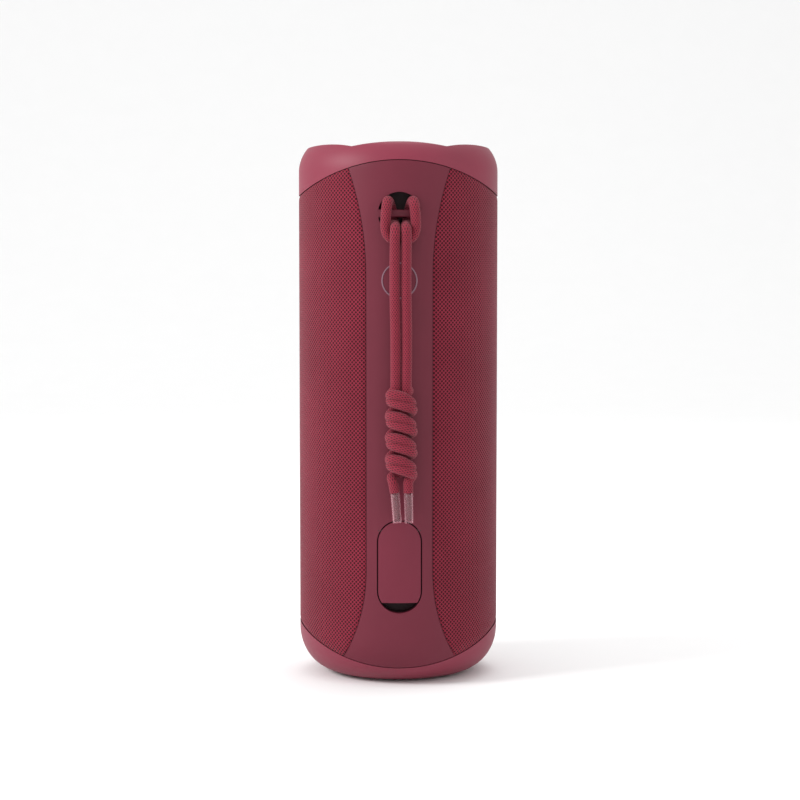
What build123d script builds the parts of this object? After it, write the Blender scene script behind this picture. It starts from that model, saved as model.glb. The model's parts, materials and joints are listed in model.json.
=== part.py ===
from build123d import *
import os
from math import cos, pi, radians, sin, sqrt, tan

os.makedirs("parts", exist_ok=True)

# Millimetres. +Z up, origin at the middle of the base, the spine faces -Y.
# Overall sizes
body_height = 210.0
body_radius = 39.4
seam_rise = 7.0  # cap height at the spine and at the front
seam_radius = 64.6  # arc of the wavy seam, seen along Y

# Shell layers, from outside in
sleeve_wall = 0.8
sleeve_gap = 0.1
grille_wall = 0.9
panel_wall = 2.5
tube_outer_radius = 36.6
tube_wall = 2.2
fit_gap = 0.1  # tube in the end caps
seam_gap = 0.3  # dark line round the spine panel and the caps

# End caps
cap_shoulder = 11.0  # straight wall ends this far below the rim
cap_corner_radius_in = 35.6
cap_corner_drop = 1.3
rim_radius = 33.2
top_hole_radius = 30.5
rim_lobe_half_width = 18.2  # middle lobe of the rim, seen along Y
rim_lobe_drop = 1.8
rim_ear_middle = 27.5
rim_ear_drop = 0.8
bowl_height = 18.0
bowl_knee_radius = 36.8
bowl_knee_height = 8.3
base_radius = 22.4
base_clearance = 0.5
bottom_hole_radius = 15.5
ledge = 12.0  # height of the ledge that carries the inner tube
ledge_radius = 33.5

# Rubber ring under the base
pad_inner_radius = 16.5
pad_outer_radius = 21.0
pad_depth = 1.2

# Spine panel outline
spine_half_width = 12.7
spine_straight_low = 45.0
spine_straight_high = 159.0
spine_flare_low_radius = 70.0
spine_flare_high_radius = 127.0

# Lanyard hole and its bar
hole_z = 182.5
hole_radius = 8.2
cup_wall = 1.2
cup_depth = 9.4
bar_height = 2.9
bar_rounding = 0.6
bar_inset = 1.5  # bar axis below the surface

# Power key and its light ring
key_z = 157.0
light_ring_radius = 6.9
light_ring_width = 0.45
key_gap = 0.2
power_key_wall = 2.2

# Port door and its recess
door_top = 64.7
door_bottom = 33.1
pocket_bottom = 29.5
door_half_width = 8.2
door_gap = 0.5
door_wall = 2.2
door_corner = 1.0
door_pin_radius = 0.4
door_pin_gap = 0.05
door_pin_inset = 1.15
door_pin_drop = 3.6
recess_depth = 8.0
recess_wall = 1.2

# Sockets, switch and circuit board
board_front = 28.6
board_wall = 1.6
board_half_width = 18.0
board_low = 36.0
board_high = 168.0
usb_z = 52.0
usb_half_width = 4.5
usb_half_height = 1.6
usb_lip = 0.6
aux_z = 41.5
aux_radius = 3.2
aux_bore = 1.75
switch_radius = 3.0

# Keys on the far side
front_key_radius = 5.0
front_key_gap = 0.3
front_key_wall = 2.0
front_key_heights = {"volume_up_key": 118.5, "play_key": 104.5, "volume_down_key": 90.5}

# Battery
cell_radius = 9.2
cell_length = 65.0
cell_low = 60.0
cell_y = -8.0
holder_wall = 1.6
spacer_radius = 2.0

# Speaker drivers
driver_heights = {"upper_driver": 150.0, "lower_driver": 56.0}
baffle_y = 22.0
baffle_wall = 3.0
baffle_low = 24.0
baffle_high = 186.0
driver_radius = 20.0
driver_seat_radius = 16.8
basket_radius = 16.5
basket_wall = 1.5
basket_depth = 12.0
cone_radius = 12.8
magnet_radius = 13.0
magnet_depth = 7.0
coil_radius = 5.0

# End radiators
frame_wall = 4.0
radiator_gap = 0.3
top_plate_radius = 22.5
bottom_plate_radius = 10.8
roll_width = 4.7
roll_wall = 1.8

# Lanyard
cord_diameter = 4.0
cord_gap = 0.4
hitch_half_width = 5.7
hitch_lobe_half_width = 6.8
hitch_running_gap = 0.05
hitch_radius = 5.4
hitch_bottom = 171.5
hitch_top = 179.0
knot_width = 13.0
knot_depth = 10.6
knot_pitch = 8.2
knot_count = 4
knot_bottom = 82.0
tail_length = 4.9
aglet_length = 12.1
aglet_radius = 1.55

# Routes of the two legs, from the hitch down to the first knot
leg_left_points = [(-1.8, -44.9, 171.4), (-2.0, -44.5, 154.0), (-1.5, -44.8, 134.0), (-1.6, -45.2, 115.0)]
leg_right_points = [(2.6, -44.9, 171.4), (2.4, -44.4, 156.0), (2.8, -44.7, 136.0), (2.5, -45.2, 115.0)]

surface_inset = body_radius - panel_wall
sleeve_inner_radius = body_radius - sleeve_wall
grille_radius = sleeve_inner_radius - sleeve_gap
tube_inner_radius = tube_outer_radius - tube_wall
lanyard_y = -(body_radius + cord_gap + knot_depth / 2)
bar_y = -(body_radius - bar_inset)
door_pin_y = -(body_radius - door_pin_inset)
door_pin_z = door_top - door_pin_drop
slot_centre_z = door_top - door_half_width


def along_y(radius, low_y, high_y, z, x=0.0):
    """A round bar along Y."""
    middle = (low_y + high_y) / 2
    return Pos(x, middle, z) * Rot(90, 0, 0) * Cylinder(radius, high_y - low_y)


def upright(radius, low_z, high_z, x=0.0, y=0.0):
    """A round bar along Z."""
    return Pos(x, y, (low_z + high_z) / 2) * Cylinder(radius, high_z - low_z)


def ring_upright(outer, inner, low_z, high_z):
    """A flat ring about Z."""
    return upright(outer, low_z, high_z) - upright(inner, low_z - 1, high_z + 1)


def block(low, high):
    """A box from its lowest corner to its highest."""
    size = [high[i] - low[i] for i in range(3)]
    middle = [(high[i] + low[i]) / 2 for i in range(3)]
    return Pos(*middle) * Box(*size)


def curved_shell(outer, inner):
    """The full-height tube between two radii about Z."""
    return ring_upright(outer, inner, -10, body_height + 10)


def seam_band(gap):
    """Everything between the two wavy seams, as seen along Y, less a gap at each."""
    reach = body_radius + 5
    rise = seam_radius - sqrt(seam_radius**2 - reach**2)
    low = seam_rise + gap
    high = body_height - seam_rise - gap
    bottom = ThreePointArc((-reach, low + rise), (0, low), (reach, low + rise))
    right = Line((reach, low + rise), (reach, high - rise))
    top = ThreePointArc((reach, high - rise), (0, high), (-reach, high - rise))
    left = Line((-reach, high - rise), (-reach, low + rise))
    outline = make_face([bottom, right, top, left])
    return extrude(Plane.XZ * outline, amount=reach, both=True)


def spine_prism(gap):
    """The waisted outline of the spine panel, grown by a gap, run through the -Y side."""
    half = spine_half_width + gap
    low_reach = spine_straight_low - 1.0
    high_reach = body_height - 1.0 - spine_straight_high
    low_flare = half + spine_flare_low_radius - sqrt(spine_flare_low_radius**2 - low_reach**2)
    high_flare = half + spine_flare_high_radius - sqrt(spine_flare_high_radius**2 - high_reach**2)
    low_z = 1.0
    high_z = body_height - 1.0
    edges = []
    for side in (1, -1):
        edges.append(TangentArc((side * half, spine_straight_low), (side * low_flare, low_z), tangent=(0, -1)))
        edges.append(Line((side * half, spine_straight_low), (side * half, spine_straight_high)))
        edges.append(TangentArc((side * half, spine_straight_high), (side * high_flare, high_z), tangent=(0, 1)))
    edges.append(Line((-low_flare, low_z), (low_flare, low_z)))
    edges.append(Line((-high_flare, high_z), (high_flare, high_z)))
    outline = make_face(edges)
    return extrude(Plane.XZ * outline, amount=body_radius + 10)


def port_slot(grow, low_y, high_y, square_end=None):
    """The upright slot of the ports, from one Y to another, cut flat below square_end."""
    radius = door_half_width + grow
    low_centre = pocket_bottom + door_half_width
    slot = along_y(radius, low_y, high_y, slot_centre_z)
    slot += along_y(radius, low_y, high_y, low_centre)
    slot += block((-radius, low_y, low_centre), (radius, high_y, slot_centre_z))
    if square_end is not None:
        slot -= block((-radius - 1, low_y - 1, pocket_bottom - 10), (radius + 1, high_y + 1, square_end))
    return slot


def outer_form(inset):
    """The whole outer shape turned about Z: bowl, straight wall, taper and rim, each radius less an inset."""
    wall_radius = body_radius - inset
    bowl_top = (wall_radius, bowl_height)
    bowl_knee = (bowl_knee_radius - inset, bowl_knee_height)
    bowl_edge = (base_radius - inset, base_clearance)
    taper_low = (wall_radius, body_height - cap_shoulder)
    taper_high = (cap_corner_radius_in - inset, body_height - cap_corner_drop)
    rim = (rim_radius - inset, body_height)
    upper = TangentArc(bowl_top, bowl_knee, tangent=(0, -1))
    lower = TangentArc(bowl_knee, bowl_edge, tangent=upper % 1)
    wall = Line(bowl_top, taper_low)
    taper = TangentArc(taper_low, taper_high, tangent=(0, 1))
    corner = TangentArc(taper_high, rim, tangent=taper % 1)
    middle = Polyline(bowl_edge, (0, base_clearance), (0, body_height), rim)
    outline = make_face([upper, lower, wall, taper, corner, *middle.edges()])
    return revolve(Plane.XZ * outline, Axis.Z)


def cap_hollow(low_hole):
    """The room inside a cap, drawn for the bottom cap: hole, radiator seat, slope, tube seat."""
    seat = ledge_radius if low_hole == top_hole_radius else bottom_hole_radius + 6.5
    seat_z = 6.0 if low_hole == top_hole_radius else 4.0
    points = [
        (0, -5),
        (low_hole, -5),
        (low_hole, seat_z),
        (seat, seat_z),
        (seat, seat_z + frame_wall),
        (ledge_radius, ledge),
        (tube_outer_radius + fit_gap, ledge),
        (tube_outer_radius + fit_gap, 60),
        (0, 60),
    ]
    return revolve(Plane.XZ * make_face(Polyline(*points, close=True)), Axis.Z)


def bottom_end_cap():
    """Smooth bowl with a wavy upper edge and a hole for the lower radiator."""
    cap = outer_form(0) & block((-60, -60, 0), (60, 60, 40))
    cap -= cap_hollow(bottom_hole_radius)
    cap -= ring_upright(pad_outer_radius, pad_inner_radius, -1, pad_depth)
    return cap - seam_band(0)


def above_rim():
    """Everything over the rim's wave: a broad lobe in the middle and an ear on each side."""
    reach = 2 * rim_ear_middle - rim_lobe_half_width
    dip = body_height - rim_lobe_drop
    ear = body_height - rim_ear_drop
    far = body_radius + 5
    lobe = ThreePointArc((-rim_lobe_half_width, dip), (0, body_height), (rim_lobe_half_width, dip))
    right = ThreePointArc((rim_lobe_half_width, dip), (rim_ear_middle, ear), (reach, dip))
    left = ThreePointArc((-rim_lobe_half_width, dip), (-rim_ear_middle, ear), (-reach, dip))
    top = body_height + 5
    rest = Polyline((reach, dip), (far, dip), (far, top), (-far, top), (-far, dip), (-reach, dip))
    outline = make_face([left, lobe, right, *rest.edges()])
    return extrude(Plane.XZ * outline, amount=far, both=True)


def top_end_cap():
    """Tapered ring with a wavy lower edge and a wavy rim."""
    cap = outer_form(0) & block((-60, -60, body_height - 40), (60, 60, body_height))
    cap -= Pos(0, 0, body_height) * mirror(cap_hollow(top_hole_radius), Plane.XY)
    cap -= seam_band(0)
    return cap - above_rim()


def base_pad():
    """Rubber ring that the speaker stands on."""
    return ring_upright(pad_outer_radius, pad_inner_radius, 0, pad_depth)


def front_key_holes(grow):
    """The three round holes of the far-side keys."""
    holes = None
    for height in front_key_heights.values():
        hole = along_y(front_key_radius + grow, 20, body_radius + 5, height)
        holes = hole if holes is None else holes + hole
    return holes


def fabric_sleeve():
    """Knitted cover between the caps, open along the spine panel."""
    sleeve = (outer_form(0) - outer_form(sleeve_wall)) & seam_band(seam_gap / 2)
    return sleeve - spine_prism(seam_gap) - front_key_holes(front_key_gap)


def grille_shell():
    """Perforated sheet under the cover, as a plain sheet of the same outline."""
    shell = curved_shell(grille_radius, grille_radius - grille_wall) & seam_band(seam_gap / 2)
    shell &= block((-60, -60, ledge + 10), (60, 60, body_height - ledge - 10))
    return shell - spine_prism(seam_gap) - front_key_holes(front_key_gap)


def spine_panel():
    """Waisted rubbery panel with the lanyard hole, the key hole and the port slot."""
    panel = (outer_form(0) - outer_form(panel_wall)) & seam_band(seam_gap) & spine_prism(0)
    deep = -(body_radius + 5)
    panel -= along_y(hole_radius, deep, 0, hole_z)
    panel -= along_y(light_ring_radius, deep, 0, key_z)
    panel -= port_slot(door_gap, deep, 0)
    return panel - door_hinge_pin()


def lanyard_cup():
    """Round blind cup behind the lanyard hole."""
    floor_y = -(body_radius - cup_depth)
    cup = along_y(hole_radius + cup_wall, -(body_radius + 1), floor_y + cup_wall, hole_z)
    cup &= upright(surface_inset, 150, body_height)
    return cup - along_y(hole_radius, -(body_radius + 5), floor_y, hole_z)


def lanyard_bar():
    """Bar across the lanyard hole, trimmed flush with the surface."""
    bar = Pos(0, bar_y, hole_z) * Box(4 * hole_radius, bar_height, bar_height)
    bar = fillet(bar.edges().filter_by(Axis.X), bar_rounding)
    bar &= along_y(hole_radius, -(body_radius + 5), 0, hole_z)
    return bar & upright(body_radius, 150, body_height)


def round_inlay(outer, inner, wall):
    """A ring or disc set flush in the spine at the power key."""
    inlay = along_y(outer, -(body_radius + 5), 0, key_z)
    if inner:
        inlay -= along_y(inner, -(body_radius + 6), 1, key_z)
    return inlay & curved_shell(body_radius, body_radius - wall)


def light_ring():
    """Thin light guide round the power key."""
    return round_inlay(light_ring_radius, light_ring_radius - light_ring_width, panel_wall)


def power_key():
    """Flush round key inside the light ring."""
    return round_inlay(light_ring_radius - light_ring_width - key_gap, 0, power_key_wall)


def door_hinge_pin():
    """Pin across the top of the port slot."""
    half = sqrt((door_half_width + door_gap) ** 2 - (door_pin_z - slot_centre_z) ** 2) + 0.9
    pin = Pos(0, door_pin_y, door_pin_z) * Rot(0, 90, 0) * Cylinder(door_pin_radius, 2 * half)
    return pin & upright(body_radius, 0, body_height)


def port_door():
    """Rubber door with a round top, hung on its pin, with a finger gap below its edge."""
    door = port_slot(0, -(body_radius + 5), 0, door_bottom) & curved_shell(body_radius, body_radius - door_wall)
    bore = Pos(0, door_pin_y, door_pin_z) * Rot(0, 90, 0) * Cylinder(door_pin_radius + door_pin_gap, 40)
    return door - bore


def port_recess():
    """Tub behind the port slot, with holes for the two sockets."""
    floor_y = -(body_radius - recess_depth)
    tub = port_slot(door_gap + recess_wall, -(body_radius + 5), floor_y + recess_wall)
    tub &= upright(surface_inset, 0, body_height)
    tub -= port_slot(door_gap, -(body_radius + 6), floor_y)
    return tub - usb_body(0) - aux_body(0)


def usb_body(inset):
    """Rounded bar of the charging socket's outline."""
    low = -(body_radius - recess_depth + usb_lip)
    half = usb_half_width - usb_half_height
    radius = usb_half_height - inset
    bar = along_y(radius, low, -board_front, usb_z, half)
    bar += along_y(radius, low, -board_front, usb_z, -half)
    return bar + block((-half, low, usb_z - radius), (half, -board_front, usb_z + radius))


def usb_socket():
    """Charging socket with its tongue."""
    low = -(body_radius - recess_depth + usb_lip)
    shell = usb_body(0) - Pos(0, -1, 0) * usb_body(0.35)
    tongue = block((-2.8, low + 0.6, usb_z - 0.35), (2.8, -board_front - 0.5, usb_z + 0.35))
    return shell + tongue


def aux_body(inset):
    """Round bar of the audio socket's outline."""
    low = -(body_radius - recess_depth + usb_lip)
    return along_y(aux_radius - inset, low, -board_front, aux_z)


def aux_socket():
    """Round audio socket with a blind bore."""
    bore = Pos(0, -1, 0) * aux_body(aux_radius - aux_bore)
    return aux_body(0) - bore


def main_board():
    """Circuit board behind the spine."""
    low = (-board_half_width, -board_front, board_low)
    return block(low, (board_half_width, -board_front + board_wall, board_high))


def power_switch():
    """Push switch on the board, behind the power key."""
    return along_y(switch_radius, -surface_inset + 0.6, -board_front, key_z)


def battery_cells():
    """Two round cells side by side."""
    cells = [upright(cell_radius, cell_low, cell_low + cell_length, side * (cell_radius + 0.3), cell_y) for side in (-1, 1)]
    return Compound(children=cells)


def battery_holder():
    """Tray behind the cells with an end wall above and below them."""
    back = cell_y - cell_radius
    half = 2 * cell_radius + 0.6
    low = cell_low - 0.1
    high = cell_low + cell_length + 0.1
    tray = block((-half, back - holder_wall, low - holder_wall), (half, back, high + holder_wall))
    tray += block((-half, back, low - holder_wall), (half, cell_y, low))
    return tray + block((-half, back, high), (half, cell_y, high + holder_wall))


def board_spacers():
    """Four posts between the board and the battery tray."""
    back = cell_y - cell_radius - holder_wall
    posts = []
    for x in (-14, 14):
        for z in (cell_low + 2, cell_low + cell_length - 2):
            posts.append(along_y(spacer_radius, -board_front + board_wall, back, z, x))
    return Compound(children=posts)


def enclosure_tube():
    """Inner tube that carries everything, with windows for the spine parts and the drivers."""
    tube = ring_upright(tube_outer_radius, tube_inner_radius, ledge, body_height - ledge)
    tube &= outer_form(panel_wall + fit_gap)
    tube -= along_y(hole_radius + cup_wall + fit_gap, -60, 0, hole_z)
    tube -= along_y(switch_radius + 1, -60, 0, key_z)
    tube -= port_slot(door_gap + recess_wall + fit_gap, -60, 0)
    for height in driver_heights.values():
        tube -= along_y(driver_radius - 1, 0, 60, height)
    return tube


def driver_baffle():
    """Flat plate that holds the two drivers."""
    half = sqrt(tube_inner_radius**2 - (baffle_y + baffle_wall) ** 2) - fit_gap
    plate = block((-half, baffle_y, baffle_low), (half, baffle_y + baffle_wall, baffle_high))
    for height in driver_heights.values():
        plate -= along_y(driver_seat_radius, 0, 60, height)
    return plate


def driver_basket(height):
    """Flanged cup of a driver."""
    front = baffle_y + baffle_wall
    basket = along_y(driver_radius, front, front + basket_wall, height)
    basket += along_y(basket_radius, baffle_y - basket_depth, front, height)
    basket -= along_y(basket_radius - basket_wall, baffle_y - basket_depth + basket_wall, 60, height)
    return basket


def driver_magnet(height):
    """Magnet behind the basket."""
    back = baffle_y - basket_depth
    return along_y(magnet_radius, back - magnet_depth, back, height)


def driver_surround(height):
    """Rubber roll between basket and cone."""
    front = baffle_y + baffle_wall
    outer = along_y(basket_radius - basket_wall, front, front + basket_wall, height)
    return outer - along_y(cone_radius + radiator_gap, 0, 60, height)


def driver_cone(height):
    """Shallow cone with its voice coil."""
    front = baffle_y + baffle_wall + basket_wall
    depth = 6.0
    place = Pos(0, front - depth / 2, height) * Rot(-90, 0, 0)
    cone = place * Cone(coil_radius + 1, cone_radius, depth)
    cone -= Pos(0, 1.0, 0) * place * Cone(coil_radius - 0.4, cone_radius - 1.4, depth)
    coil_back = front - depth - 5
    coil = along_y(coil_radius, coil_back, front - depth + 0.5, height)
    return cone + (coil - along_y(coil_radius - 0.8, coil_back - 1, front, height))


def radiator_frame(outer, inner, low_z):
    """Stiff ring that holds a radiator."""
    return ring_upright(outer, inner, low_z, low_z + frame_wall)


def radiator_roll(inner_plate, width, low_z):
    """Soft roll between a radiator's frame and its plate."""
    inner = inner_plate + radiator_gap
    middle = low_z + frame_wall / 2
    return ring_upright(inner_plate + width, inner, middle - roll_wall / 2, middle + roll_wall / 2)


def radiator_plate(radius, low_z):
    """Moving plate of a radiator with a chamfered edge and a weight on its inner side."""
    plate = upright(radius, low_z + 0.5, low_z + frame_wall - 0.5)
    return chamfer(plate.edges().filter_by(GeomType.CIRCLE), 0.6)


def radiator_screws(radius, low_z, high_z):
    """Four screw heads on the inner face of a radiator's frame."""
    heads = []
    for index in range(4):
        angle = radians(45 + 90 * index)
        heads.append(upright(1.8, low_z, high_z, radius * cos(angle), radius * sin(angle)))
    return Compound(children=heads)


def front_key(height):
    """Round key on the far side, flush with the cover."""
    key = along_y(front_key_radius, 20, body_radius + 5, height)
    return key & curved_shell(body_radius, body_radius - front_key_wall)


def lanyard_hitch():
    """The cord's turn round the bar, as one outer shape."""
    wrap = Pos(0, bar_y, hole_z) * Rot(0, 90, 0) * Cylinder(hitch_radius, 2 * hitch_half_width)
    bar_corner = bar_height / 2 * sqrt(2) - bar_rounding * (sqrt(2) - 1)
    wrap -= Pos(0, bar_y, hole_z) * Rot(0, 90, 0) * Cylinder(bar_corner + hitch_running_gap, 40)
    front = -(body_radius + cord_gap)
    half = hitch_lobe_half_width
    lobe = block((-half, front - 6.6, hitch_bottom), (half, front, hitch_top))
    lobe = fillet(lobe.edges().filter_by(Axis.Y), 3.0)
    return wrap + lobe


def arc_radii(points):
    """The largest arc that each corner's two runs allow."""
    radii = []
    for before, corner, after in zip(points, points[1:], points[2:]):
        first = Vector(*corner) - Vector(*before)
        second = Vector(*after) - Vector(*corner)
        shorter = min(first.length, second.length)
        radii.append(0.45 * shorter / tan(radians(first.get_angle(second)) / 2))
    return radii


def cord_tube(name, points):
    """A round tube along straight runs joined by tangent arcs."""
    radii = arc_radii(points)
    path = FilletPolyline(*points, radius=radii)
    section = Plane(origin=path @ 0, z_dir=path % 0) * Circle(cord_diameter / 2)
    tube = sweep(section, path)
    ideal = pi * cord_diameter**2 / 4 * path.length
    print(name, "length", round(path.length, 1), "radii", [round(r) for r in radii], "volume ratio", round(tube.volume / ideal, 4))
    return tube


def knot(index):
    """One knot of the chain, as its outer shape."""
    low = knot_bottom + (knot_count - 1 - index) * knot_pitch
    base = Plane(origin=(0.4, lanyard_y, low)) * Ellipse(knot_width / 2, knot_depth / 2)
    body = extrude(base, amount=knot_pitch)
    return fillet(body.edges(), 1.8)


def tail_start(side):
    """Where a cord end leaves the last knot."""
    return Vector(-2.3 if side == "left" else 3.1, lanyard_y, knot_bottom - 0.2)


def tail_direction(side):
    """The way a cord end hangs, a little aslant on the left."""
    lean = 0.09 if side == "left" else 0.03
    return Vector(lean, 0, -1).normalized()


def cord_tail(side):
    """Short cord end between the last knot and its sleeve."""
    start = tail_start(side)
    end = start + tail_direction(side) * tail_length
    path = Line(start, end)
    return sweep(Plane(origin=start, z_dir=path % 0) * Circle(cord_diameter / 2), path)


def cord_aglet(side):
    """Clear sleeve on a cord end."""
    start = tail_start(side) + tail_direction(side) * tail_length
    section = Plane(origin=start, z_dir=tail_direction(side)) * Circle(aglet_radius)
    sleeve = extrude(section, amount=aglet_length)
    return fillet(sleeve.edges().filter_by(GeomType.CIRCLE).sort_by(Axis.Z)[0], 0.5)


top_seat = body_height - 6.0 - frame_wall
bottom_seat = 4.0
nodes = {
    "top_end_cap": top_end_cap(),
    "bottom_end_cap": bottom_end_cap(),
    "base_pad": base_pad(),
    "fabric_sleeve": fabric_sleeve(),
    "grille_shell": grille_shell(),
    "spine_panel": spine_panel(),
    "lanyard_cup": lanyard_cup(),
    "lanyard_bar": lanyard_bar(),
    "light_ring": light_ring(),
    "power_key": power_key(),
    "door_hinge_pin": door_hinge_pin(),
    "port_door": port_door(),
    "port_recess": port_recess(),
    "usb_socket": usb_socket(),
    "aux_socket": aux_socket(),
    "main_board": main_board(),
    "power_switch": power_switch(),
    "battery_cells": battery_cells(),
    "battery_holder": battery_holder(),
    "board_spacers": board_spacers(),
    "enclosure_tube": enclosure_tube(),
    "driver_baffle": driver_baffle(),
    "top_radiator_frame": radiator_frame(ledge_radius - fit_gap, top_plate_radius + roll_width, top_seat),
    "top_radiator_roll": radiator_roll(top_plate_radius, roll_width, top_seat),
    "top_radiator_plate": radiator_plate(top_plate_radius, top_seat),
    "bottom_radiator_frame": radiator_frame(bottom_hole_radius + 6.4, bottom_plate_radius + 3.7, bottom_seat),
    "bottom_radiator_roll": radiator_roll(bottom_plate_radius, 3.7, bottom_seat),
    "bottom_radiator_plate": radiator_plate(bottom_plate_radius, bottom_seat),
    "top_radiator_screws": radiator_screws(30.0, top_seat - 1.6, top_seat),
    "bottom_radiator_screws": radiator_screws(18.5, bottom_seat + frame_wall, bottom_seat + frame_wall + 1.6),
    "lanyard_hitch": lanyard_hitch(),
    "lanyard_leg_left": cord_tube("left leg", leg_left_points),
    "lanyard_leg_right": cord_tube("right leg", leg_right_points),
}
for name, height in driver_heights.items():
    nodes[name + "_basket"] = driver_basket(height)
    nodes[name + "_magnet"] = driver_magnet(height)
    nodes[name + "_surround"] = driver_surround(height)
    nodes[name + "_cone"] = driver_cone(height)
for name, height in front_key_heights.items():
    nodes[name] = front_key(height)
for index in range(knot_count):
    nodes["lanyard_knot_" + str(index + 1)] = knot(index)
for side in ("left", "right"):
    nodes["lanyard_tail_" + side] = cord_tail(side)
    nodes["lanyard_aglet_" + side] = cord_aglet(side)

for name, shape in nodes.items():
    export_step(shape, "parts/" + name + ".step")
print(len(nodes), "nodes written")
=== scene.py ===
import json
from math import asin, cos, pi, radians, sin, sqrt, tau

import bmesh
import bpy
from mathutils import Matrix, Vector


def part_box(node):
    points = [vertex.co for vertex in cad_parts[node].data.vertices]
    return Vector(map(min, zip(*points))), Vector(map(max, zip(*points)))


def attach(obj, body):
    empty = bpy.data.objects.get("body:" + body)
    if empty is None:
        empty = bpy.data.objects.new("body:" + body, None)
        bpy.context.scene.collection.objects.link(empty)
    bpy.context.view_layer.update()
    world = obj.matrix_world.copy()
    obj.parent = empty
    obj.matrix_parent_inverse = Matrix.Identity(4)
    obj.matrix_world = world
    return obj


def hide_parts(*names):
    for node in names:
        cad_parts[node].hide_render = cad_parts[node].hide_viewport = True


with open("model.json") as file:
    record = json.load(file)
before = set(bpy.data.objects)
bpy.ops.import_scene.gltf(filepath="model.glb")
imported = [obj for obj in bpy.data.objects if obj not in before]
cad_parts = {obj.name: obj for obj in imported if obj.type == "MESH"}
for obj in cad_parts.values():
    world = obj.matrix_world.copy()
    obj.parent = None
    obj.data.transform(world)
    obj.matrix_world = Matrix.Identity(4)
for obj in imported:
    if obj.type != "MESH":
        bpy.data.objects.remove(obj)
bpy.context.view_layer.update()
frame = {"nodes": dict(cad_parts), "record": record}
mm = 0.001
scene = bpy.context.scene

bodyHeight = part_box("top_end_cap")[1].z
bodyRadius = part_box("fabric_sleeve")[1].x
print("frame loaded, height", round(bodyHeight, 4), "radius", round(bodyRadius, 4))

# camera: level with the middle of the body, a touch above and to the left
view = {"distance": 0.88, "elevation": 4.3, "turn": 0.75, "lens": 99.0, "aimUp": 0.0035, "aimSide": 0.0007}


def addCamera():
    camera = bpy.data.objects.new("camera", bpy.data.cameras.new("camera"))
    scene.collection.objects.link(camera)
    aim = Vector((view["aimSide"], 0, bodyHeight / 2 + view["aimUp"]))
    up, turn = radians(view["elevation"]), radians(view["turn"])
    away = Vector((-sin(turn) * cos(up), -cos(turn) * cos(up), sin(up)))
    middle = Vector((0, 0, bodyHeight / 2))
    camera.location = middle + away * view["distance"] + Vector((view["aimSide"], 0, view["aimUp"]))
    camera.rotation_euler = (aim - camera.location).to_track_quat("-Z", "Y").to_euler()
    camera.data.lens = view["lens"]
    camera.data.clip_start = 0.01
    scene.camera = camera


addCamera()
print("camera placed")


# small helpers for node trees
def node(tree, kind, **inputs):
    made = tree.nodes.new(kind)
    for name, value in inputs.items():
        socket = made.inputs[name]
        if isinstance(value, bpy.types.NodeSocket):
            tree.links.new(value, socket)
        else:
            socket.default_value = value
    return made


def maths(tree, operation, first, second=0.0):
    made = tree.nodes.new("ShaderNodeMath")
    made.operation = operation
    for index, value in enumerate((first, second)):
        if isinstance(value, bpy.types.NodeSocket):
            tree.links.new(value, made.inputs[index])
        else:
            made.inputs[index].default_value = value
    return made.outputs[0]


def remap(tree, value, fromLow=0.0, fromHigh=1.0, toLow=0.0, toHigh=1.0):
    made = node(tree, "ShaderNodeMapRange", Value=value)
    for index, limit in enumerate((fromLow, fromHigh, toLow, toHigh), start=1):
        made.inputs[index].default_value = limit
    return made


def blendColour(tree, factor, first, second):
    made = tree.nodes.new("ShaderNodeMix")
    made.data_type = "RGBA"
    for index, value in ((0, factor), (6, first), (7, second)):
        if isinstance(value, bpy.types.NodeSocket):
            tree.links.new(value, made.inputs[index])
        else:
            made.inputs[index].default_value = value
    return made.outputs[2]


def groupTree(name, inputs, outputs):
    tree = bpy.data.node_groups.new(name, "ShaderNodeTree")
    for label, kind, value in inputs:
        socket = tree.interface.new_socket(label, in_out="INPUT", socket_type=kind)
        if value is not None:
            socket.default_value = value
    for label, kind in outputs:
        tree.interface.new_socket(label, in_out="OUTPUT", socket_type=kind)
    return tree, tree.nodes.new("NodeGroupInput").outputs, tree.nodes.new("NodeGroupOutput").inputs


def buildGrain():
    # moulded grain: a fine height and a slow mottle, both from object coordinates
    takes = [("Place", "NodeSocketVector", None), ("Scale", "NodeSocketFloat", 2600.0)]
    gives = [("Height", "NodeSocketFloat"), ("Mottle", "NodeSocketFloat")]
    tree, given, out = groupTree("mouldedGrain", takes, gives)
    place, scale = given["Place"], given["Scale"]
    fine = node(tree, "ShaderNodeTexNoise", Vector=place, Scale=scale, Detail=3.0, Roughness=0.6)
    slow = node(tree, "ShaderNodeTexNoise", Vector=place, Scale=38.0, Detail=4.0, Roughness=0.55)
    tree.links.new(fine.outputs[0], out["Height"])
    tree.links.new(slow.outputs[0], out["Mottle"])
    return tree


def slantWave(tree, operation, across, along, turns):
    phase = maths(tree, "MULTIPLY", maths(tree, operation, across, along), turns)
    return maths(tree, "ABSOLUTE", maths(tree, "SINE", phase))


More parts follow.
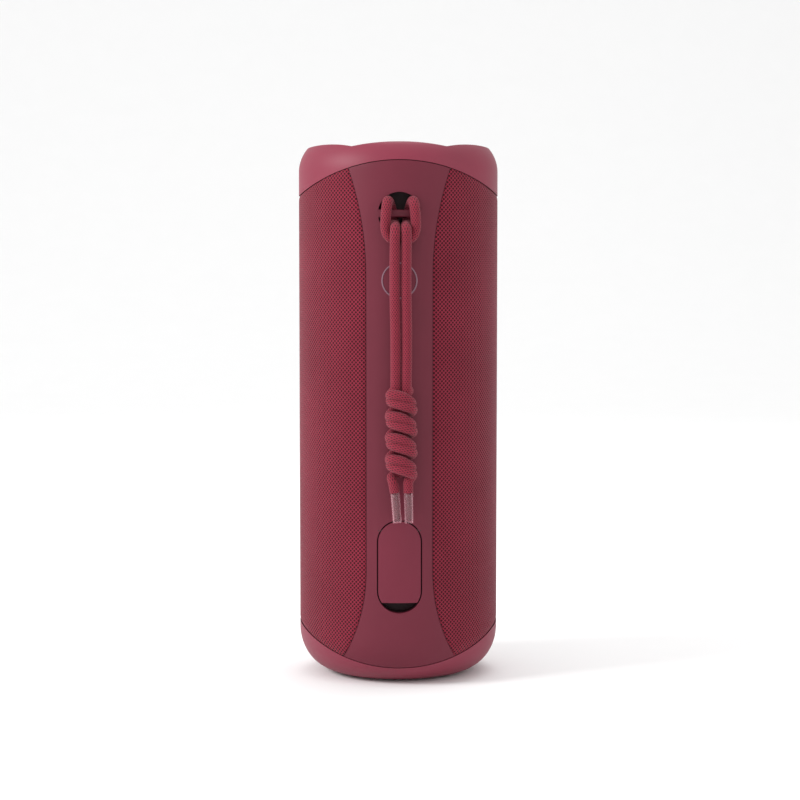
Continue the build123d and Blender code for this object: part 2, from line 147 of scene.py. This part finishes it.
def buildKnit():
    # staggered eyelets between slanting threads, from a UV map in millimetres
    takes = [("Pitch", "NodeSocketFloat", 1.8), ("Wander", "NodeSocketFloat", 0.10)]
    gives = [("Eyelet", "NodeSocketFloat"), ("Thread", "NodeSocketFloat")]
    tree, given, out = groupTree("slantKnit", takes, gives)
    uv = tree.nodes.new("ShaderNodeUVMap")
    uv.uv_map = "clothMap"
    noise = node(tree, "ShaderNodeTexNoise", Vector=uv.outputs[0], Scale=0.9, Detail=2.0)
    split = node(tree, "ShaderNodeSeparateXYZ", Vector=uv.outputs[0])
    drift = maths(tree, "MULTIPLY", maths(tree, "SUBTRACT", noise.outputs[0], 0.5), given["Wander"])
    across = maths(tree, "ADD", split.outputs[0], drift)
    along = maths(tree, "ADD", split.outputs[1], drift)
    turns = maths(tree, "DIVIDE", pi, given["Pitch"])
    rising = slantWave(tree, "ADD", across, along, turns)
    falling = slantWave(tree, "SUBTRACT", across, along, turns)
    product = maths(tree, "MULTIPLY", rising, falling)
    eyelet = remap(tree, product, fromLow=0.18, fromHigh=0.68)
    eyelet.interpolation_type = "SMOOTHSTEP"
    tree.links.new(eyelet.outputs[0], out["Eyelet"])
    tree.links.new(rising, out["Thread"])
    return tree


def buildBraid():
    # plaits running both ways round a cord, from its UV map: turns round, millimetres along
    takes = [("Plaits", "NodeSocketFloat", 6.0), ("Lay", "NodeSocketFloat", 2.1)]
    gives = [("Gap", "NodeSocketFloat"), ("Fleck", "NodeSocketFloat")]
    tree, given, out = groupTree("roundBraid", takes, gives)
    uv = tree.nodes.new("ShaderNodeUVMap")
    uv.uv_map = "cordMap"
    split = node(tree, "ShaderNodeSeparateXYZ", Vector=uv.outputs[0])
    around = maths(tree, "MULTIPLY", maths(tree, "MULTIPLY", split.outputs[0], tau), given["Plaits"])
    along = maths(tree, "MULTIPLY", split.outputs[1], given["Lay"])
    first = maths(tree, "ABSOLUTE", maths(tree, "COSINE", maths(tree, "ADD", around, along)))
    second = maths(tree, "ABSOLUTE", maths(tree, "COSINE", maths(tree, "SUBTRACT", around, along)))
    peak = maths(tree, "MAXIMUM", first, second)
    fleck = node(tree, "ShaderNodeTexNoise", Vector=uv.outputs[0], Scale=3.0, Detail=3.0)
    tree.links.new(maths(tree, "SUBTRACT", 1.0, peak), out["Gap"])
    tree.links.new(fleck.outputs[0], out["Fleck"])
    return tree


grainGroup = buildGrain()
knitGroup = buildKnit()
braidGroup = buildBraid()


def material(name, colour, roughness, **sockets):
    made = bpy.data.materials.new(name)
    made.use_nodes = True
    tree = made.node_tree
    shader = tree.nodes["Principled BSDF"]
    shader.inputs["Base Color"].default_value = (*colour, 1.0)
    shader.inputs["Roughness"].default_value = roughness
    for label, value in sockets.items():
        shader.inputs[label.replace("_", " ")].default_value = value
    return made, tree, shader


def useGroup(tree, group, **inputs):
    made = tree.nodes.new("ShaderNodeGroup")
    made.node_tree = group
    for label, value in inputs.items():
        if isinstance(value, bpy.types.NodeSocket):
            tree.links.new(value, made.inputs[label])
        else:
            made.inputs[label].default_value = value
    return made.outputs


def bump(tree, shader, height, strength, distance):
    made = node(tree, "ShaderNodeBump", Strength=strength, Distance=distance, Height=height)
    tree.links.new(made.outputs[0], shader.inputs["Normal"])


def moulded(name, colour, roughness, grainScale=2600.0, strength=0.25, spread=0.12, **sockets):
    # grained plastic, rubber or metal with a slow change of tone and gloss
    made, tree, shader = material(name, colour, roughness, **sockets)
    place = tree.nodes.new("ShaderNodeTexCoord").outputs["Object"]
    grain = useGroup(tree, grainGroup, Place=place, Scale=grainScale)
    darker = (*[c * (1 - spread) for c in colour], 1.0)
    lighter = (*[min(1.0, c * (1 + spread)) for c in colour], 1.0)
    tone = blendColour(tree, grain["Mottle"], darker, lighter)
    tree.links.new(tone, shader.inputs["Base Color"])
    gloss = remap(tree, grain["Mottle"], toLow=roughness - 0.05, toHigh=min(1.0, roughness + 0.07))
    tree.links.new(gloss.outputs[0], shader.inputs["Roughness"])
    bump(tree, shader, grain["Height"], strength, 0.00006)
    return made


# cloth and cord colours: light and middle are thread tones, the darkest is a painted shade for the knit's eyelets
# and the gaps between the cord's plaits
clothLook = {
    "light": (0.29, 0.024, 0.050, 1.0),
    "middle": (0.17, 0.012, 0.026, 1.0),
    "dark": (0.018, 0.001, 0.004, 1.0),
    "pitch": 1.6, "eyeletShare": 0.93, "threadRelief": 0.4,
}
clothSheen = {"Sheen_Weight": 0.22, "Sheen_Roughness": 0.35, "Sheen_Tint": (1.0, 0.62, 0.68, 1.0)}
cordPaint = {
    "light": (0.32, 0.028, 0.055, 1.0),
    "middle": (0.19, 0.010, 0.024, 1.0),
    "dark": (0.05, 0.004, 0.010, 1.0),
}
cordSheen = {"Sheen_Weight": 0.15, "Sheen_Roughness": 0.5, "Sheen_Tint": (1.0, 0.7, 0.75, 1.0)}


def clothMaterial():
    made, tree, shader = material("clothKnit", (0.4, 0.05, 0.1), 0.85, Specular_IOR_Level=0.2, **clothSheen)
    knit = useGroup(tree, knitGroup, Pitch=clothLook["pitch"])
    place = tree.nodes.new("ShaderNodeTexCoord").outputs["Object"]
    grain = useGroup(tree, grainGroup, Place=place, Scale=1400.0)
    thread = blendColour(tree, grain["Mottle"], clothLook["middle"], clothLook["light"])
    # the eyelets take the darkest colour, a painted shade as if the holes were in shadow
    shade = maths(tree, "MULTIPLY", knit["Eyelet"], clothLook["eyeletShare"])
    tree.links.new(blendColour(tree, shade, thread, clothLook["dark"]), shader.inputs["Base Color"])
    threads = maths(tree, "MULTIPLY", knit["Thread"], clothLook["threadRelief"])
    relief = maths(tree, "SUBTRACT", threads, knit["Eyelet"])
    bump(tree, shader, relief, 0.7, 0.0003)
    return made


def cordMaterial():
    made, tree, shader = material("cordBraid", (0.4, 0.07, 0.12), 0.8, Specular_IOR_Level=0.25, **cordSheen)
    braid = useGroup(tree, braidGroup)
    light = blendColour(tree, braid["Fleck"], cordPaint["middle"], cordPaint["light"])
    # the gaps between the plaits take the darkest colour, a painted shade between the strands
    gapShade = remap(tree, braid["Gap"], fromLow=0.05, fromHigh=0.35)
    tree.links.new(blendColour(tree, gapShade.outputs[0], light, cordPaint["dark"]), shader.inputs["Base Color"])
    bump(tree, shader, maths(tree, "SUBTRACT", braid["Fleck"], braid["Gap"]), 0.5, 0.0003)
    return made


def clearMaterial():
    # clear film: see-through face on, more opaque in a light pink towards its edges, partly the film seen edge-on
    # and partly a painted highlight
    made, tree, shader = material("clearSleeve", (0.80, 0.42, 0.48), 0.18, Coat_Weight=0.5)
    facing = tree.nodes.new("ShaderNodeLayerWeight")
    facing.inputs[0].default_value = 0.35
    edgeFilmAndSheen = remap(tree, facing.outputs["Facing"], fromLow=0.25, fromHigh=0.85, toLow=0.06, toHigh=0.95)
    tree.links.new(edgeFilmAndSheen.outputs[0], shader.inputs["Alpha"])
    place = tree.nodes.new("ShaderNodeTexCoord").outputs["Object"]
    grain = useGroup(tree, grainGroup, Place=place, Scale=600.0)
    bump(tree, shader, grain["Height"], 0.08, 0.00005)
    return made


capPaint = moulded("capPlastic", (0.205, 0.022, 0.046), 0.50, Specular_IOR_Level=0.35)
spinePaint = moulded("spinePlastic", (0.125, 0.011, 0.026), 0.52, Specular_IOR_Level=0.3)
darkPaint = moulded("darkPlastic", (0.035, 0.008, 0.012), 0.6)
looks = {
    "cap": capPaint,
    "spine": spinePaint,
    "cover": clothMaterial(),
    "grille": moulded("grillePaint", (0.12, 0.012, 0.022), 0.5),
    "dark_plastic": darkPaint,
    "rubber": moulded("blackRubber", (0.04, 0.012, 0.016), 0.75, 1800.0),
    "door_rubber": moulded("doorRubber", (0.140, 0.013, 0.030), 0.55, 2200.0, Specular_IOR_Level=0.3),
    "light": moulded("lightGuide", (0.24, 0.12, 0.16), 0.35, 900.0),
    "steel": moulded("plainSteel", (0.55, 0.55, 0.56), 0.32, 1500.0, Metallic=1.0),
    "board": moulded("boardLacquer", (0.02, 0.14, 0.06), 0.35, 700.0),
    "cell": moulded("cellFilm", (0.08, 0.22, 0.42), 0.3, 500.0),
    "magnet": moulded("magnetIron", (0.10, 0.10, 0.10), 0.6, 1200.0),
    "cone": moulded("conePulp", (0.05, 0.045, 0.045), 0.8, 1600.0),
    "cord": cordMaterial(),
    "aglet": clearMaterial(),
    "cordEnd": moulded("dippedCordEnd", (0.075, 0.003, 0.010), 0.3, 900.0),
}
for entry in frame["record"]["subparts"]:
    held = frame["nodes"][entry["node"]]
    held.data.materials.clear()
    held.data.materials.append(looks[entry["material_slot"]])
# the steel hinge pin takes the dark plastic, a painted shade so the gap at the door's shoulders reads dark
frame["nodes"]["door_hinge_pin"].data.materials[0] = darkPaint
print("materials made", len(looks))


def link(name, mesh, look, body):
    made = bpy.data.objects.new(name, mesh)
    scene.collection.objects.link(made)
    mesh.materials.append(looks[look])
    for face in mesh.polygons:
        face.use_smooth = True
    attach(made, body)
    return made


def joinRings(build, first, second):
    for number in range(len(first)):
        after = (number + 1) % len(first)
        build.faces.new((first[number], first[after], second[after], second[number]))


def finishMesh(name, build):
    mesh = bpy.data.meshes.new(name)
    build.to_mesh(mesh)
    build.free()
    return mesh


# cords: routes given in millimetres, from the middle of the bight up over the bar, round it and down
cordLook = {
    "radius": 2.0, "around": 32, "step": 0.3, "relief": 0.05, "plaits": 6, "lay": 2.1, "knotShare": 0.97,
}
legLeft = [(-1.8, -44.9, 171.4), (-2.0, -44.5, 154.0), (-1.5, -44.8, 134.0), (-1.6, -45.2, 115.0)]
legRight = [(2.6, -44.9, 171.4), (2.4, -44.4, 156.0), (2.8, -44.7, 136.0), (2.5, -45.2, 115.0)]
hitchLeft = [
    (0.4, -41.9, 172.4), (-3.4, -41.9, 172.6), (-5.5, -42.3, 176.0), (-5.2, -42.6, 182.0),
    (-4.7, -41.6, 187.0), (-4.0, -36.4, 187.4), (-2.8, -33.7, 183.5), (-1.9, -35.0, 178.4),
    (-1.6, -40.5, 177.8), (-1.7, -45.8, 176.6),
]
hitchRight = [(0.8 - x, y, z) for x, y, z in hitchLeft]
routeLeft = hitchLeft + legLeft + [(-1.6, -45.2, 112.5)]
routeRight = hitchRight + legRight + [(2.5, -45.2, 112.5)]


def splinePoints(name, route):
    curve = bpy.data.curves.new(name, "CURVE")
    curve.dimensions = "3D"
    curve.resolution_u = 24
    spline = curve.splines.new("NURBS")
    spline.points.add(len(route) - 1)
    for point, place in zip(spline.points, route):
        point.co = (*[value * mm for value in place], 1.0)
    spline.order_u = 3
    spline.use_endpoint_u = True
    holder = bpy.data.objects.new(name, curve)
    scene.collection.objects.link(holder)
    plain = bpy.data.meshes.new_from_object(holder.evaluated_get(bpy.context.evaluated_depsgraph_get()))
    points = [vertex.co.copy() for vertex in plain.vertices]
    bpy.data.objects.remove(holder)
    bpy.data.meshes.remove(plain)
    return points


def evenly(points, step):
    gone = [0.0]
    for before, after in zip(points, points[1:]):
        gone.append(gone[-1] + (after - before).length)
    count = max(8, round(gone[-1] / step))
    made, index = [], 0
    for number in range(count + 1):
        wanted = gone[-1] * number / count
        while index < len(points) - 2 and gone[index + 1] < wanted:
            index += 1
        share = (wanted - gone[index]) / max(1e-12, gone[index + 1] - gone[index])
        made.append(points[index].lerp(points[index + 1], share))
    return made, gone[-1]


def braidTube(name, points, radius, relief=cordLook["relief"]):
    # a tube with plaits raised both ways round, closed at both ends
    line, length = evenly(points, cordLook["step"] * mm)
    around = cordLook["around"]
    build = bmesh.new()
    layer = build.loops.layers.uv.new("cordMap")
    side = Vector((1, 0, 0))
    rings, gone = [], 0.0
    marks = []
    for index, place in enumerate(line):
        ahead = (line[min(index + 1, len(line) - 1)] - line[max(index - 1, 0)]).normalized()
        side = (side - ahead * side.dot(ahead)).normalized()
        other = ahead.cross(side)
        if index:
            gone += (place - line[index - 1]).length
        along = gone / mm * cordLook["lay"]
        ring = []
        for number in range(around):
            turn = tau * number / around
            lead = cordLook["plaits"] * turn
            plait = max(abs(cos(lead + along)), abs(cos(lead - along)))
            reach = radius * (1 - relief + relief * plait)
            ring.append(build.verts.new(place + (side * cos(turn) + other * sin(turn)) * reach))
        rings.append(ring)
        marks.append(gone / mm)
    for index in range(len(rings) - 1):
        for number in range(around):
            after = (number + 1) % around
            near, far = rings[index], rings[index + 1]
            face = build.faces.new((near[number], near[after], far[after], far[number]))
            corners = ((number, index), (number + 1, index), (number + 1, index + 1), (number, index + 1))
            for loop, (turns, row) in zip(face.loops, corners):
                loop[layer].uv = (turns / around, marks[row])
    build.faces.new(list(reversed(rings[0])))
    build.faces.new(rings[-1])
    bmesh.ops.recalc_face_normals(build, faces=build.faces)
    return finishMesh(name, build), length


# knot chain: each strand's turn through one unit, in cord diameters, repeated down the chain
knots = {"count": 4, "pitch": 8.2, "top": 115.4, "centre": (0.5, -45.2), "diameter": 4.0}
knotTurns = {
    "Left": [
        (-1.12, -0.10, -0.50), (-0.85, -0.80, -0.28), (0.10, -0.95, -0.45), (0.85, -0.60, -0.95),
        (1.05, 0.10, -1.25), (0.60, 0.75, -1.45), (-0.20, 0.85, -1.75), (-0.95, 0.55, -2.10),
    ],
    "Right": [
        (0.90, 0.60, -0.05), (0.20, 0.85, -0.25), (-0.75, 0.65, -0.60), (-1.05, 0.00, -0.95),
        (-0.70, -0.70, -1.10), (0.15, -0.95, -1.35), (0.95, -0.75, -1.60), (1.15, 0.00, -1.85),
    ],
}


def knotRoute(side):
    route = []
    for unit in range(knots["count"]):
        top = knots["top"] - unit * knots["pitch"]
        for x, y, z in knotTurns[side]:
            size = knots["diameter"]
            route.append((knots["centre"][0] + x * size, knots["centre"][1] + y * size, top + z * size))
    return route


tails = {
    "Left": [(-2.6, -45.1, 81.0), (-2.2, -45.1, 78.5), (-1.85, -45.1, 76.4)],
    "Right": [(3.2, -45.1, 81.0), (3.2, -45.1, 78.5), (3.25, -45.1, 76.4)],
}
starts = {"Left": [(-1.6, -45.2, 116.0)], "Right": [(2.6, -45.2, 116.0)]}


# each clear sleeve and the cord end inside it: outlines as radius and distance down, in millimetres
sleeve = {"around": 32, "half": 1.6, "topDrop": 0.2, "footRise": 0.1, "leastRadius": 0.02}
sleeveOutline = [
    (1.42, 0.2), (1.55, 0.0), (1.68, 0.15), (1.70, 0.6), (1.70, 4.0),
    (1.66, 8.0), (1.64, 11.4), (1.58, 11.85), (1.45, 11.95), (1.38, 11.6),
]
coreOutline = [(0.0, 0.0), (1.28, 0.1), (1.28, 3.0), (1.26, 8.0), (1.24, 10.6), (0.9, 11.0), (0.0, 11.1)]
sleeveParts = [("agletSleeve", sleeveOutline, "aglet", True), ("agletCore", coreOutline, "cordEnd", False)]


def sleeveEnd(side):
    # the clear sleeve is a closed ring in section, the core a plug with flat ends
    low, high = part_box("lanyard_aglet_" + side.lower())
    top = Vector((low.x + sleeve["half"] * mm, (low.y + high.y) / 2, high.z - sleeve["topDrop"] * mm))
    foot = Vector((high.x - sleeve["half"] * mm, top.y, low.z + sleeve["footRise"] * mm))
    down = (foot - top).normalized()
    across = down.cross(Vector((0, 1, 0))).normalized()
    forward = across.cross(down)
    length = (foot - top).length
    made = []
    for name, outline, look, hollow in sleeveParts:
        build = bmesh.new()
        rings = []
        for reach, gone in outline:
            centre = top + down * min(gone * mm, length)
            radius = max(reach, sleeve["leastRadius"])
            ring = []
            for number in range(sleeve["around"]):
                turn = tau * number / sleeve["around"]
                spoke = across * cos(turn) + forward * sin(turn)
                ring.append(build.verts.new(centre + spoke * radius * mm))
            rings.append(ring)
        pairs = list(zip(rings, rings[1:]))
        if hollow:
            pairs.append((rings[-1], rings[0]))
        for first, second in pairs:
            joinRings(build, first, second)
        if not hollow:
            build.faces.new(rings[0])
            build.faces.new(rings[-1])
        bmesh.ops.recalc_face_normals(build, faces=build.faces)
        build.loops.layers.uv.new("cordMap")
        made.append(link(name + side, finishMesh(name + side, build), look, "lanyard"))
    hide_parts("lanyard_aglet_" + side.lower())
    return made


def addLanyard():
    for side, route in (("Left", routeLeft), ("Right", routeRight)):
        points = splinePoints("route" + side, route)
        mesh, length = braidTube("lanyardCord" + side, points, cordLook["radius"] * mm)
        cord = link("lanyardCord" + side, mesh, "cord", "lanyard")
        word = side.lower()
        if side == "Left":
            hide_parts("lanyard_leg_left", "lanyard_hitch")
        else:
            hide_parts("lanyard_leg_right")
        chain = splinePoints("knotRoute" + side, starts[side] + knotRoute(side) + tails[side])
        knotRadius = cordLook["knotShare"] * cordLook["radius"] * mm
        knotMesh, knotLength = braidTube("knotStrand" + side, chain, knotRadius)
        strand = link("knotStrand" + side, knotMesh, "cord", "lanyard")
        held = {"Left": ("lanyard_knot_1", "lanyard_knot_2"), "Right": ("lanyard_knot_3", "lanyard_knot_4")}[side]
        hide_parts(*held, "lanyard_tail_" + word)
        ends = sleeveEnd(side)
        print("lanyard", side, "cord", round(length, 4), "knots and tail", round(knotLength, 4))


addLanyard()

# cover: a stretched tube of knitted cloth that follows the seams and the spine outline
cover = {
    "around": 300, "along": 200, "gap": 0.3, "edgeDrop": 0.35, "edgeEase": 0.1,
    "seamRise": 7.0, "seamRadius": 64.6,
    "firstHeight": 105.0, "passes": 6, "sineLimit": 0.9, "keyClear": 0.4, "spineShare": 0.33,
}
spine = {"half": 12.7, "low": 45.0, "high": 159.0, "lowFlare": 70.0, "highFlare": 127.0}
bowl = {"height": 18.0, "kneeRadius": 36.8, "kneeHeight": 8.3}
taper = {"start": 11.0, "height": 9.7, "inset": 3.8}


def seamLow(x):
    radius = cover["seamRadius"]
    return cover["seamRise"] + radius - sqrt(radius**2 - x**2) + cover["gap"] / 2


def spineHalf(z):
    half = spine["half"] + cover["gap"]
    if z < spine["low"]:
        return half + spine["lowFlare"] - sqrt(spine["lowFlare"] ** 2 - (spine["low"] - z) ** 2)
    if z > spine["high"]:
        return half + spine["highFlare"] - sqrt(spine["highFlare"] ** 2 - (z - spine["high"]) ** 2)
    return half


def wallRadius(z):
    # the bowl's first arc below its top, the taper's arc above the shoulder
    full = bodyRadius / mm
    if z < bowl["height"]:
        drop, inset = bowl["height"] - bowl["kneeHeight"], full - bowl["kneeRadius"]
        arc = (drop**2 + inset**2) / (2 * inset)
        return full - arc + sqrt(max(0.0, arc**2 - (bowl["height"] - z) ** 2))
    shoulder = bodyHeight / mm - taper["start"]
    if z > shoulder:
        arc = (taper["height"] ** 2 + taper["inset"] ** 2) / (2 * taper["inset"])
        return full - arc + sqrt(max(0.0, arc**2 - (z - shoulder) ** 2))
    return full


def keyCentres():
    made = []
    for name in ("volume_up_key", "play_key", "volume_down_key"):
        low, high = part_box(name)
        made.append((name, (low.x + high.x) / 2, (low.z + high.z) / 2, (high.x - low.x) / 2))
    return made


def coverPoint(row, column):
    # angle, height and radius at one crossing: the outline depends on the height, so a few passes settle it
    share = row / cover["along"]
    z, turn = cover["firstHeight"], pi
    for _ in range(cover["passes"]):
        edge = asin(min(cover["sineLimit"], spineHalf(z) / wallRadius(z)))
        turn = edge + (tau - 2 * edge) * column / cover["around"]
        low = seamLow(abs(wallRadius(z) * sin(turn)))
        z = low + (bodyHeight / mm - 2 * low) * share
    near = min(row, cover["along"] - row, column, cover["around"] - column)
    drop = {0: cover["edgeDrop"], 1: cover["edgeEase"]}.get(near, 0.0)
    return turn, z, wallRadius(z) - drop


def coversKey(middle, centres):
    clear = cover["keyClear"] * mm
    return middle.y > 0 and any(
        (middle.x - x) ** 2 + (middle.z - z) ** 2 < (reach + clear) ** 2 for _, x, z, reach in centres
    )


def addCover():
    build = bmesh.new()
    layer = build.loops.layers.uv.new("clothMap")
    around, along = cover["around"], cover["along"]
    grid, marks = [], []
    for row in range(along + 1):
        line, flat = [], []
        for column in range(around + 1):
            turn, z, reach = coverPoint(row, column)
            line.append(build.verts.new((reach * sin(turn) * mm, -reach * cos(turn) * mm, z * mm)))
            flat.append((turn * bodyRadius / mm, z))
        grid.append(line)
        marks.append(flat)
    centres = keyCentres()
    for row in range(along):
        for column in range(around):
            corners = ((row, column), (row, column + 1), (row + 1, column + 1), (row + 1, column))
            middle = sum((grid[r][c].co for r, c in corners), Vector()) / 4
            if coversKey(middle, centres):
                continue
            face = build.faces.new([grid[r][c] for r, c in corners])
            for loop, (r, c) in zip(face.loops, corners):
                loop[layer].uv = marks[r][c]
    bmesh.ops.recalc_face_normals(build, faces=build.faces)
    sample = next(iter(build.faces))
    outward = sample.calc_center_median()
    if sample.normal.dot(Vector((outward.x, outward.y, 0))) < 0:
        bmesh.ops.reverse_faces(build, faces=build.faces)
    area = sum(face.calc_area() for face in build.faces)
    cloth = link("coverCloth", finishMesh("coverCloth", build), "cover", "speaker")
    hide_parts("fabric_sleeve")


addCover()


# far-side keys: a raised collar in the cloth round each key, and a raised generic sign on each key
collar = {
    "around": 72,
    "outline": [(0.15, -0.8), (0.15, 0.0), (0.4, 0.22), (0.8, 0.22), (1.15, 0.05), (1.15, -0.8)],
}
sign = {"long": 2.6, "thin": 0.45, "proud": 0.2, "deep": 0.4, "bevel": 0.08}
upright, level = (sign["thin"], sign["long"]), (sign["long"], sign["thin"])
signBars = {"volume_up_key": [level, upright], "volume_down_key": [level]}
playOutline = [(-1.6, -2.0), (2.2, 0.0), (-1.6, 2.0)]


def addCollar(name, x, z, reach):
    build = bmesh.new()
    rings = []
    for offset, rise in collar["outline"]:
        ring = []
        for number in range(collar["around"]):
            turn = tau * number / collar["around"]
            px, pz = x + (reach + offset * mm) * cos(turn), z + (reach + offset * mm) * sin(turn)
            ring.append(build.verts.new((px, sqrt(bodyRadius**2 - px**2) + rise * mm, pz)))
        rings.append(ring)
    for first, second in list(zip(rings, rings[1:])) + [(rings[-1], rings[0])]:
        joinRings(build, first, second)
    bmesh.ops.recalc_face_normals(build, faces=build.faces)
    link(name + "Collar", finishMesh(name + "Collar", build), "door_rubber", "speaker")


def addSign(name, x, z):
    shapes = [
        [(-half, -tall), (half, -tall), (half, tall), (-half, tall)] for half, tall in signBars.get(name, [])
    ] or [playOutline]
    build = bmesh.new()
    for outline in shapes:
        top, foot = [], []
        for px, pz in outline:
            face = sqrt(bodyRadius**2 - (x + px * mm) ** 2)
            top.append(build.verts.new((x - px * mm, face + sign["proud"] * mm, z + pz * mm)))
            foot.append(build.verts.new((x - px * mm, face - sign["deep"] * mm, z + pz * mm)))
        build.faces.new(top)
        build.faces.new(list(reversed(foot)))
        for index in range(len(top)):
            after = (index + 1) % len(top)
            build.faces.new((top[index], foot[index], foot[after], top[after]))
    bmesh.ops.recalc_face_normals(build, faces=build.faces)
    bmesh.ops.bevel(build, geom=list(build.edges), offset=sign["bevel"] * mm, segments=2, affect="EDGES")
    link(name + "Sign", finishMesh(name + "Sign", build), "light", name)


def addKeys():
    for name, x, z, reach in keyCentres():
        addCollar(name, x, z, reach)
        addSign(name, x, z)
    print("keys finished")


addKeys()


# studio: a pale sweep and soft lights, each lamp with its place, size and power
sweepLook = {"half": 4.0, "front": -3.0, "bend": 1.2, "radius": 1.0, "top": 4.0, "steps": 16}
lamps = [
    ("keyLight", (-1.1, -0.45, 0.75), 0.45, 13.0),
    ("fillLight", (1.2, -0.9, 0.7), 1.0, 2.5),
    ("topLight", (0.2, 0.4, 1.3), 0.9, 5.0),
]
lampAim = (0, 0, 0.1)
worldStrength = 0.9


def sweepProfile():
    bend, radius = sweepLook["bend"], sweepLook["radius"]
    profile = [(sweepLook["front"], 0.0), (bend, 0.0)]
    for step in range(1, sweepLook["steps"] + 1):
        turn = pi / 2 * step / sweepLook["steps"]
        profile.append((bend + radius * sin(turn), radius - radius * cos(turn)))
    profile.append((bend + radius, sweepLook["top"]))
    return profile


def addStudio():
    build = bmesh.new()
    rows = []
    for y, z in sweepProfile():
        rows.append([build.verts.new((side * sweepLook["half"], y, z)) for side in (-1, 1)])
    for first, second in zip(rows, rows[1:]):
        build.faces.new((first[0], first[1], second[1], second[0]))
    mesh = finishMesh("sweep", build)
    sweep = bpy.data.objects.new("sweep", mesh)
    scene.collection.objects.link(sweep)
    for face in mesh.polygons:
        face.use_smooth = True
    mesh.materials.append(moulded("paleSweep", (0.90, 0.90, 0.90), 0.8, 400.0, 0.02, 0.01))
    world = bpy.data.worlds.new("studioWorld")
    world.use_nodes = True
    world.node_tree.nodes["Background"].inputs[0].default_value = (1, 1, 1, 1)
    world.node_tree.nodes["Background"].inputs[1].default_value = worldStrength
    scene.world = world
    for name, place, size, power in lamps:
        lamp = bpy.data.objects.new(name, bpy.data.lights.new(name, "AREA"))
        scene.collection.objects.link(lamp)
        lamp.location = place
        lamp.data.size = size
        lamp.data.energy = power
        lamp.rotation_euler = (Vector(lampAim) - Vector(place)).to_track_quat("-Z", "Y").to_euler()
    scene.view_settings.view_transform = "Standard"


addStudio()
print("pieces placed")
